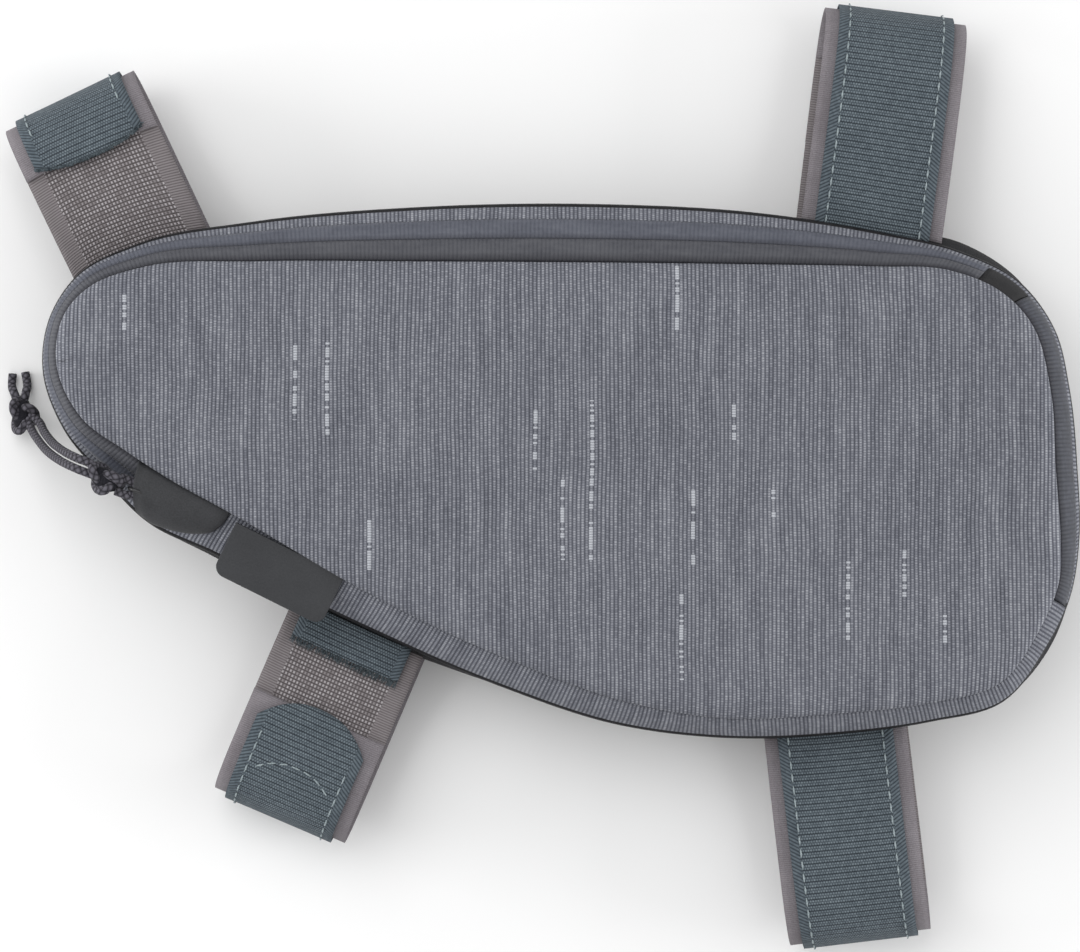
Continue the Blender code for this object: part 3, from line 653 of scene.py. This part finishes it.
# Front panel: the large padded heather panel, domed, rolled down into its seam all round and
# lightly puckered along the stitching.
dome_rows = ((0.00, 0.00), (0.00, 0.14), (0.05, 0.28), (0.14, 0.40), (0.30, 0.51), (0.55, 0.62),
             (1.00, 0.72))
crown_rows = ((0.05, 0.775), (0.12, 0.84), (0.22, 0.90), (0.36, 0.95), (0.55, 0.985), (0.78, 0.997),
              (0.97, 1.0))
shoulder_rise = dome_rows[-1][1]
panel_places = round_bag(10)
rows_here, normals = ring_rows(panel_places), outward(panel_places)
panel_base = wall_top + rows_here[:, 4] + seam_gap
panel_lines = []
for index, (inward, rise) in enumerate(dome_rows):
    lap = rows_here[:, 6] * (1.0 if 1 <= index <= 4 else 0.0)
    pucker = (np.sin(panel_places * 31.0) * np.sin(panel_places * 12.7 + 0.8) * 0.00016
              * math.sin(math.pi * min(1.0, inward + 0.15)))
    flat = rows_here[:, 2:4] + normals * (lap - inward * panel_roll)[:, None]
    panel_lines.append(raised(flat, panel_base + rise * panel_dome + pucker))
shoulder = panel_lines[-1]
panel_middle = shoulder[:-1, :2].mean(axis=0)
panel_top = float(np.mean(panel_base[:-1])) + panel_dome
for inward, rise in crown_rows:
    flat = shoulder[:, :2] * (1 - inward) + panel_middle * inward
    climb = (rise - shoulder_rise) / (1 - shoulder_rise)
    panel_lines.append(raised(flat, shoulder[:, 2] + (panel_top - shoulder[:, 2]) * climb))
panel = sheet("front_panel_cloth", panel_lines, heather_flat, weld=True)
bm = bmesh.new()
bm.from_mesh(panel.data)
crown = Vector(panel_middle)
inner_rim = [e for e in bm.edges if e.is_boundary and (e.verts[0].co.xy - crown).length < 0.02]
bmesh.ops.holes_fill(bm, edges=inner_rim, sides=0)
bm.to_mesh(panel.data)
bm.free()
panel.data.shade_smooth()
fit(thicken(panel, 0.0022), "heather_cloth", "front_panel")


# Zip garage: a half-round flap of thin charcoal rubber sewn into the seam, arched over the
# slider at its open left end and cut in a curve at its lower right.
# Columns: station in the seam, station at the free edge, and the free edge's place across.
garage_rows = ((25.72, 25.05, 0.27), (25.55, 24.96, 0.29), (25.20, 24.75, 0.34), (24.80, 24.50, 0.41),
               (24.45, 24.25, 0.54), (24.20, 24.12, 0.70), (24.08, 24.07, 0.88))
garage_lift, garage_arch, seam_place = 0.0056, 0.72, 0.97
garage_lines = []
fine_rows = smooth_line(garage_rows, 25)
for across in np.linspace(0, 1, 13):
    lifted = garage_arch * math.sin(math.pi * across) ** 0.75 if 0 < across < 1 else 0.0
    line = []
    for index, (seam, free, place) in enumerate(fine_rows):
        share = index / (len(fine_rows) - 1)
        lift = 2 * gap + garage_lift * (1 - share**2) * lifted
        station = free + (seam - free) * across
        line.append(edge_line([station], place + (seam_place - place) * across, lift)[0])
    garage_lines.append(line[::-1])
garage = sheet("zip_garage_flap", garage_lines, rubber_look)
fit(thicken(garage, 0.0009, 1.0), "charcoal_rubber", "zip_garage")


# Slider and pull link: a small black zip slider under the flap's mouth, and the wire link that
# hooks the cord's bight to it. Both are enamelled metal.
def black_enamel():
    f = Finish("black enamel")
    place = f.node("ShaderNodeTexCoord", output="Object")
    rub = f.noise(place, 900.0, 3.0, 0.6)
    colour = f.tones(rub, (0.4, (0.008, 0.008, 0.009)), (0.8, (0.040, 0.040, 0.043)))
    return f.done(colour, f.add(0.22, f.times(rub, 0.25)), f.bump(rub, 0.00005), specular=0.5)


enamel = black_enamel()
slider_length, slider_width, slider_height = 0.007, 0.005, 0.0020
slider_station, slider_across, slider_taper = 24.88, 0.66, 0.68
link_wire, link_rise = 0.0010, 0.0024


def edge_frame(station, place, lift):
    ahead, behind = (Vector(edge_line([station + s], place, lift)[0]) for s in (0.1, -0.1))
    inner, outer = (Vector(edge_line([station], place + s, lift)[0]) for s in (0.05, -0.05))
    along = (behind - ahead).normalized()
    off = along.cross(inner - outer).normalized()
    off = -off if off.z < 0 else off
    turn = Matrix((along, off.cross(along), off)).transposed().to_4x4()
    return Matrix.Translation(Vector(edge_line([station], place, lift)[0])) @ turn


slider_place = edge_frame(slider_station, slider_across, slider_height / 2 + 2 * gap)
bm = bmesh.new()
bmesh.ops.create_cube(bm, size=1.0)
bmesh.ops.scale(bm, vec=(slider_length, slider_width, slider_height), verts=bm.verts)
for vert in bm.verts:
    if vert.co.x < 0:
        vert.co.y *= slider_taper
bmesh.ops.bevel(bm, geom=bm.edges[:], offset=slider_height / 3, segments=3, profile=0.5,
                affect="EDGES", material=-1)
bmesh.ops.transform(bm, matrix=slider_place, verts=bm.verts)
fit(made_piece("slider_body", bm, enamel), "black_metal", "zip_slider")
slider_reach = slider_length / 2 + link_wire / 2 + gap
slider_end = (slider_place.translation - slider_place.col[0].xyz * slider_reach
              + Vector((0.0, 0.0, slider_height / 4)))
to_slider = Vector((*(slider_end - inner_knot).xy, 0.0)).normalized()
cross_slider = Vector((-to_slider.y, to_slider.x, 0.0))
bend = cord_width / 2 + link_wire / 2 + gap
bight_root = inner_knot + to_slider * (inner_knot_size[0] / 2 + gap)
bight_centre = bight_root + to_slider * cord_width / 2
bight = [bight_root - cross_slider * bend - to_slider * 0.002]
bight += [bight_centre + (cross_slider * math.sin(a) + to_slider * math.cos(a)) * bend
          for a in np.linspace(-math.pi / 2, math.pi / 2, 15)]
bight += [bight_root + cross_slider * bend - to_slider * 0.002]
fit(tube("cord_bight_turn", bight, cord_width, cord_cover), "cord", "cord_bight")
link_middle, link_half = (bight_centre + slider_end) / 2, (slider_end - bight_centre) / 2
link = [link_middle + link_half * math.cos(a) + Vector((0, 0, link_rise)) * math.sin(a)
        for a in np.linspace(0, 2 * math.pi, 28, endpoint=False)]
fit(tube("pull_link_wire", link, link_wire, enamel, closed=True, sides=8), "black_metal",
    "zip_pull_link")


# Label tab: a plain bare tab of thin charcoal rubber with two round corners, sewn into the seam
# at the lower left edge and sloping down from it over the border.
label_width, label_length, label_thick, label_corner = 0.0316, 0.0150, 0.0006, 0.0030
label_station, label_slope = 23.6, 15
bm = bmesh.new()
outline = [(label_width / 2, 0.0), (-label_width / 2, 0.0)]
for side in (-1, 1):
    for quarter in range(7):
        a = math.pi / 2 * quarter / 6
        a = a if side < 0 else math.pi / 2 - a
        outline.append((side * (label_width / 2 - label_corner + label_corner * math.cos(a)),
                        label_length - label_corner + label_corner * math.sin(a)))
face = bm.faces.new([bm.verts.new((x, y, label_thick / 2)) for x, y in outline])
solid = bmesh.ops.extrude_face_region(bm, geom=[face])
bmesh.ops.translate(bm, vec=(0, 0, -label_thick),
                    verts=[g for g in solid["geom"] if isinstance(g, bmesh.types.BMVert)])
bmesh.ops.recalc_face_normals(bm, faces=bm.faces)
rim = [e for e in bm.edges if len(e.link_faces) == 2 and e.calc_face_angle(0) > 1.0]
bmesh.ops.bevel(bm, geom=rim, offset=label_thick * 0.3, segments=2, profile=0.5, affect="EDGES",
                material=-1)
out_flat = Vector((*outward([label_station])[0], 0.0))
slope = math.radians(label_slope)
out = out_flat * math.cos(slope) + Vector((0, 0, -1)) * math.sin(slope)
along = Vector((out_flat.y, -out_flat.x, 0.0))
off = along.cross(out)
row = ring_rows([label_station])[0]
seat = (Vector((*row[2:4], wall_top + row[4])) + out_flat * 3 * gap
        + off * (label_thick / 2 + 2 * gap))
bmesh.ops.transform(bm, matrix=Matrix.Translation(seat)
                    @ Matrix((along, out, off)).transposed().to_4x4(), verts=bm.verts)
label_look = charcoal_rubber("label tab", (0.034, 0.035, 0.038), (0.056, 0.058, 0.062), 0.48)
fit(made_piece("label_tab_plain", bm, label_look, smooth=False), "charcoal_rubber", "label_tab")


# Straps: four closed loops. Each is a fleecy grey backing with blue-grey ribbed webbing sewn on
# its outside by two lines of stitching, and a grey hook tape that faces into the loop. The left
# pair lap over in front, with the hook tape showing; the lower one has a short frayed patch.
tape_width, webbing_width, loop_height = 0.0375, 0.0305, 0.0262
hook_thick, backing_thick, webbing_thick = 0.0011, 0.0008, 0.0012
loop_section = ((0.00, 0.935), (0.22, 0.990), (0.50, 1.020), (0.76, 1.000), (0.92, 0.870),
                (0.99, 0.620), (0.99, 0.420), (0.92, 0.200), (0.76, 0.110), (0.50, 0.110),
                (0.22, 0.150), (0.00, 0.210))
# Columns: name, station, heading in degrees, reach, skew, whether the webbing starts in front,
# and how far it laps past the fold.
straps = (
    ("top_left", 2.94, 115.5, 0.0440, 0.0000, False, 0.0135),
    ("top_right", 7.94, 82.8, 0.0590, 0.0006, True, 0.0300),
    ("bottom_left", 23.0, 246.8, 0.0562, 0.0008, False, 0.0280),
    ("bottom_right", 19.04, 276.7, 0.0560, 0.0026, True, 0.0300),
)
hook_reach, patch_length, backing_setback = 0.80, 0.0110, 0.0004
stitch_pitch, stitch_length, stitch_width, stitch_inset = 0.0033, 0.0027, 0.0005, 0.0028
end_curves, end_power = {"top_left": 0.0030, "bottom_left": 0.0078}, 2.4


def ribbed_webbing():
    """Woven webbing: cross ribs of staggered loops, tighter and upright along both edges."""
    f = Finish("ribbed webbing")
    across, along, _ = f.where("UV")
    row = f.over(along, 0.00078)
    shift = f.times(f.calc("MODULO", f.floor(row), 2.0), 0.5)
    loop = f.add(f.over(across, 0.00070), shift)
    loops = f.times(f.arch(row, 0.8), f.arch(loop, 0.8))
    ribs = f.arch(f.over(along, 0.00156), 0.6)
    yarn = f.chance(f.floor(loop), f.floor(row))
    patchy = f.noise(f.node("ShaderNodeTexCoord", output="Object"), 120.0, 3.0, 0.6)
    edge = f.calc("GREATER_THAN", f.calc("ABSOLUTE", across), webbing_width / 2 - 0.0024)
    slanted = f.arch(f.add(f.over(along, 0.0010), f.over(f.calc("ABSOLUTE", across), 0.0016)), 0.7)
    middle = f.add(f.times(loops, 0.60), f.times(ribs, 0.32))
    weave = f.node("ShaderNodeMix", {0: edge, 2: middle, 3: f.add(f.times(slanted, 0.5), 0.12)}, 0,
                   data_type="FLOAT")
    tone = f.add(f.times(weave, f.add(f.times(yarn, 0.22), 0.70)), f.times(patchy, 0.14))
    colour = f.tones(tone, (0.10, (0.018, 0.024, 0.030)), (0.44, (0.074, 0.093, 0.110)),
                     (0.78, (0.165, 0.200, 0.224)), (1.0, (0.290, 0.335, 0.362)))
    return f.done(colour, 0.78, f.bump(weave, 0.00036), sheen=0.04, specular=0.15)


def fleece_backing():
    """Brushed grey tape with the faint cross ribs of its ground weave."""
    f = Finish("fleece backing")
    across, along, _ = f.where("UV")
    place = f.node("ShaderNodeTexCoord", output="Object")
    ribs, nap = f.arch(f.over(along, 0.00055)), f.noise(place, 3200.0, 3.0, 0.75)
    broad = f.noise(place, 90.0, 3.0, 0.6)
    tone = f.add(f.times(nap, 0.6), f.add(f.times(ribs, 0.18), f.times(broad, 0.25)))
    colour = f.tones(tone, (0.25, (0.120, 0.105, 0.115)), (0.55, (0.215, 0.198, 0.213)),
                     (0.90, (0.360, 0.342, 0.362)))
    return f.done(colour, 0.92, f.bump(f.add(nap, f.times(ribs, 0.5)), 0.00014), sheen=0.08,
                  specular=0.1)


def hook_tape():
    """Hook tape: rows of light hooks on a dark ground, with plain ribbed edges."""
    f = Finish("hook tape")
    across, along, _ = f.where("UV")
    row, column = f.over(along, 0.00110), f.over(across, 0.00094)
    hooks = f.times(f.arch(row, 1.2), f.arch(column, 1.4))
    ground = f.arch(f.over(along, 0.00055), 0.6)
    wild = f.chance(f.floor(column), f.floor(row))
    margin = f.calc("GREATER_THAN", f.calc("ABSOLUTE", across), tape_width / 2 - 0.0049)
    ribbed = f.arch(f.over(along, 0.00068), 0.8)
    inner = f.add(f.times(hooks, f.add(f.times(wild, 0.7), 0.50)), f.times(ground, 0.20))
    weave = f.node("ShaderNodeMix", {0: margin, 2: inner, 3: f.add(f.times(ribbed, 0.38), 0.18)}, 0,
                   data_type="FLOAT")
    dust = f.noise(f.node("ShaderNodeTexCoord", output="Object"), 240.0, 3.0, 0.7)
    tone = f.add(weave, f.times(dust, 0.16))
    colour = f.tones(tone, (0.08, (0.052, 0.044, 0.044)), (0.38, (0.150, 0.135, 0.138)),
                     (0.75, (0.265, 0.242, 0.250)), (1.0, (0.450, 0.425, 0.440)))
    return f.done(colour, 0.88, f.bump(weave, 0.00035), sheen=0.05, specular=0.12)


webbing_look, backing_look, hook_look = ribbed_webbing(), fleece_backing(), hook_tape()


def loop_line(reach, shift, count=110):
    """Side view of a strap loop, moved off its middle line by shift, outwards positive."""
    line = smooth_line(loop_section, count) * (reach, loop_height)
    along = np.gradient(line, axis=0)
    along /= np.linalg.norm(along, axis=1)[:, None]
    return line + np.stack((-along[:, 1], along[:, 0]), axis=1) * shift


def root_reach(origin, heading, ring):
    side = np.array((-heading[1], heading[0]))
    relative = ring[:, :2] - origin
    across, along = relative @ side, relative @ heading
    nearby, after = np.roll(across, -1), np.roll(along, -1)
    hits = [along[i] + (after[i] - along[i]) * across[i] / (across[i] - nearby[i])
            for i in range(len(ring)) if across[i] * nearby[i] <= 0 and across[i] != nearby[i]]
    return max(hits)


def wall_ring(height):
    low, high = wall_heights()
    return wall_line(everywhere[:-1], min(max((height - low) / (high - low), 0.0), 1.0))


def ribbon_points(entry, line, width, columns, end_curve=0.0):
    """Rows of points across a strap piece; its root is cut to the wall."""
    _, station, angle, reach, skew, _, _ = entry
    heading = np.array((math.cos(math.radians(angle)), math.sin(math.radians(angle))))
    side = np.array((-heading[1], heading[0]))
    base = ring_rows([station])[0, :2]
    runs = np.r_[0, np.cumsum(np.linalg.norm(np.diff(line, axis=0), axis=1))]
    rings = [wall_ring(height) for height in (line[0, 1], line[-1, 1])]
    rows = []
    for share in np.linspace(-0.5, 0.5, columns + 1):
        points = []
        kept = runs * (1 - end_curve * abs(2 * share) ** end_power / runs[-1])
        shaped = np.stack([np.interp(kept, runs, line[:, c]) for c in (0, 1)], axis=1)
        for out, height in shaped:
            start = base + side * (width * share + skew * (1 - height / loop_height))
            root = max(root_reach(start, heading, ring) for ring in rings) + gap * 1.5
            reached = root + (reach - root) * min(max(out / reach, 0.0), 1.2)
            points.append((*(start + heading * reached), height))
        rows.append(points)
    return rows


def ribbon(name, entry, line, width, thickness, cover, slot, node, end_curve=0.0):
    rows = ribbon_points(entry, line, width, columns=24, end_curve=end_curve)
    runs = np.r_[0, np.cumsum(np.linalg.norm(np.diff(line, axis=0), axis=1))]
    marks = []
    for share in np.linspace(-0.5, 0.5, len(rows)):
        kept = runs * (1 - end_curve * abs(2 * share) ** end_power / runs[-1])
        marks.append([(width * share, run) for run in kept])
    piece = sheet(name, rows, cover, marks=marks)
    return fit(thicken(piece, thickness, 0.0), slot, node)


def cut_line(line, lap, from_front):
    line = line if from_front else line[::-1]
    fold = int(np.argmax(line[:, 0]))
    runs = np.r_[0, np.cumsum(np.linalg.norm(np.diff(line, axis=0), axis=1))]
    return line[runs <= runs[fold] + lap + loop_height / 2]


def thread_look():
    f = Finish("sewing thread")
    place = f.node("ShaderNodeTexCoord", output="Object")
    twist = f.noise(place, 3000.0, 2.0, 0.6)
    colour = f.tones(twist, (0.3, (0.150, 0.190, 0.205)), (0.75, (0.420, 0.480, 0.500)))
    return f.done(colour, 0.6, f.bump(twist, 0.0001), sheen=0.1)


thread = thread_look()


def stitch_run(name, points):
    """A line of stitches: short lens-shaped beads set along the points."""
    points = np.array(points)
    runs = np.r_[0, np.cumsum(np.linalg.norm(np.diff(points, axis=0), axis=1))]
    bm = bmesh.new()
    at = stitch_pitch / 2
    while at < runs[-1] - stitch_length / 2:
        here = Vector([float(np.interp(at, runs, points[:, c])) for c in range(3)])
        ahead = Vector([float(np.interp(at + 0.0004, runs, points[:, c])) for c in range(3)])
        turn = (ahead - here).to_track_quat("X", "Z").to_matrix().to_4x4()
        shape = Matrix.Diagonal((stitch_length, stitch_width, stitch_width * 0.7, 1.0))
        bmesh.ops.create_uvsphere(bm, u_segments=6, v_segments=4, radius=0.5,
                                  matrix=Matrix.Translation(here) @ turn @ shape)
        at += stitch_pitch
    return fit(made_piece(name, bm, thread), "strap_webbing")


def fray(name, points, ways, count, length, width, spread, lift):
    """Loose yarn ends along a cut: thin beads lying out of it, turned a little at random."""
    dice = np.random.default_rng(7)
    bm = bmesh.new()
    for _ in range(count):
        at = dice.uniform(0, len(points) - 1)
        row = min(int(at), len(points) - 2)
        here = points[row] + (points[row + 1] - points[row]) * (at - row)
        way = Vector(ways[row]).normalized()
        way.rotate(Matrix.Rotation(dice.normal(0, spread * 0.35), 3, "Z"))
        long = length * dice.uniform(0.4, 1.0)
        middle = Vector(here) + way * long * 0.35 + Vector((0, 0, lift * dice.uniform(0, 1.0)))
        turn = way.to_track_quat("X", "Z").to_matrix().to_4x4()
        bmesh.ops.create_uvsphere(bm, u_segments=5, v_segments=4, radius=0.5,
                                  matrix=Matrix.Translation(middle) @ turn
                                  @ Matrix.Diagonal((long, width, width, 1.0)))
    return fit(made_piece(name, bm, loose_yarn), "strap_webbing")


def yarn_ends():
    f = Finish("loose yarn")
    nap = f.noise(f.node("ShaderNodeTexCoord", output="Object"), 900.0, 3.0, 0.7)
    colour = f.tones(nap, (0.3, (0.020, 0.027, 0.033)), (0.7, (0.110, 0.135, 0.150)))
    return f.done(colour, 0.9, f.bump(nap, 0.0001), sheen=0.05, specular=0.1)


loose_yarn = yarn_ends()
for entry in straps:
    name, _, _, reach, _, from_front, lap = entry
    webbing_shift = backing_thick / 2 + gap + webbing_thick / 2
    hook_shift = backing_thick / 2 + gap + hook_thick / 2
    webbing_line = cut_line(loop_line(reach, webbing_shift), lap, from_front)
    backing_line = cut_line(loop_line(reach, 0.0), lap, from_front)
    if not from_front:
        past_webbing = backing_line[:, 0] < webbing_line[-1, 0] + backing_setback
        past_webbing[:int(np.argmax(backing_line[:, 0]))] = False
        backing_line = backing_line[~past_webbing]
    ribbon(f"{name}_backing_tape", entry, backing_line, tape_width, backing_thick, backing_look,
           "strap_backing", f"strap_{name}_backing")
    ribbon(f"{name}_webbing_tape", entry, webbing_line, webbing_width, webbing_thick, webbing_look,
           "strap_webbing", f"strap_{name}_webbing", end_curves.get(name, 0.0))
    inside = loop_line(reach, -hook_shift)
    inside = inside[::-1] if from_front else inside
    fold = int(np.argmax(inside[:, 0]))
    hook_line = np.array([p for p in inside[:fold] if p[0] <= reach * hook_reach])
    ribbon(f"{name}_hook_tape", entry, hook_line, tape_width, hook_thick, hook_look, "hook_tape",
           f"strap_{name}_hook")
    sewn = cut_line(loop_line(reach, webbing_shift + webbing_thick / 2 + 0.0001), lap, from_front)
    sewn_line = sewn[:-7] if name in end_curves else sewn
    sides = ribbon_points(entry, sewn_line, 2 * (webbing_width / 2 - stitch_inset), columns=2)
    stitch_run(f"{name}_stitches_left", sides[0])
    stitch_run(f"{name}_stitches_right", sides[2])
    if name == "bottom_left":
        outer = loop_line(reach, -hook_shift + hook_thick / 2 + gap + webbing_thick / 2)
        patch_line = np.array([p for p in outer[:fold] if p[0] <= patch_length])
        ribbon("bottom_left_frayed_patch", entry, patch_line, webbing_width, webbing_thick,
               webbing_look, "strap_webbing", "strap_bottom_left_fray_patch")
        cut = np.array(ribbon_points(entry, patch_line, webbing_width, columns=24))
        fray("bottom_left_frayed_threads", cut[:, -1], cut[:, -1] - cut[:, -2], 260, 0.0030, 0.00022,
             spread=0.9, lift=0.0008)
    if name == "top_left":
        cut = np.array(ribbon_points(entry, webbing_line, webbing_width, columns=24,
                                     end_curve=end_curves[name]))
        fray("top_left_fuzzy_end", cut[:, -1], cut[:, -1] - cut[:, -2], 520, 0.0013, 0.00050,
             spread=2.6, lift=0.0004)
    if name == "bottom_left":
        cut = np.array(ribbon_points(entry, sewn, webbing_width - 0.0050, columns=24,
                                     end_curve=end_curves[name]))
        stitch_run("bottom_left_stitches_across", cut[2:-2, -12])


# Floor and lights: a plain pale table, under a white studio sky and three soft lamps, one over
# the bag and one low at each side.
f = Finish("pale table")
cloud = f.noise(f.node("ShaderNodeTexCoord", output="Object"), 3.0)
table_tone = f.tones(cloud, (0.3, (0.90, 0.90, 0.90)), (0.7, (0.92, 0.92, 0.92)))
table_look = f.done(table_tone, 0.9, f.bump(cloud, 0.0001), specular=0.1)
bm = bmesh.new()
bmesh.ops.create_grid(bm, x_segments=1, y_segments=1, size=2.0)
floor = made_piece("floor", bm, table_look, smooth=False)
bpy.context.scene.collection.objects.link(floor)

world = bpy.data.worlds.new("studio")
world.use_nodes = True
world.node_tree.nodes["Background"].inputs[0].default_value = (1.0, 1.0, 1.0, 1.0)
world.node_tree.nodes["Background"].inputs[1].default_value = 0.72
bpy.context.scene.world = world
bpy.context.scene.view_settings.view_transform = "Standard"
lit_place = Vector((0, 0, 0.02))
for name, place, power, size in (("top", (-0.35, 0.45, 1.0), 4.4, 0.9),
                                 ("left", (-0.9, 0.05, 0.25), 3.5, 0.5),
                                 ("right", (0.9, -0.1, 0.25), 4.0, 0.5)):
    lamp = bpy.data.lights.new(name, "AREA")
    lamp.energy, lamp.size = power, size
    lamp_object = bpy.data.objects.new(name, lamp)
    lamp_object.location = place
    lamp_object.rotation_euler = (lit_place - Vector(place)).to_track_quat("-Z", "Y").to_euler()
    bpy.context.scene.collection.objects.link(lamp_object)
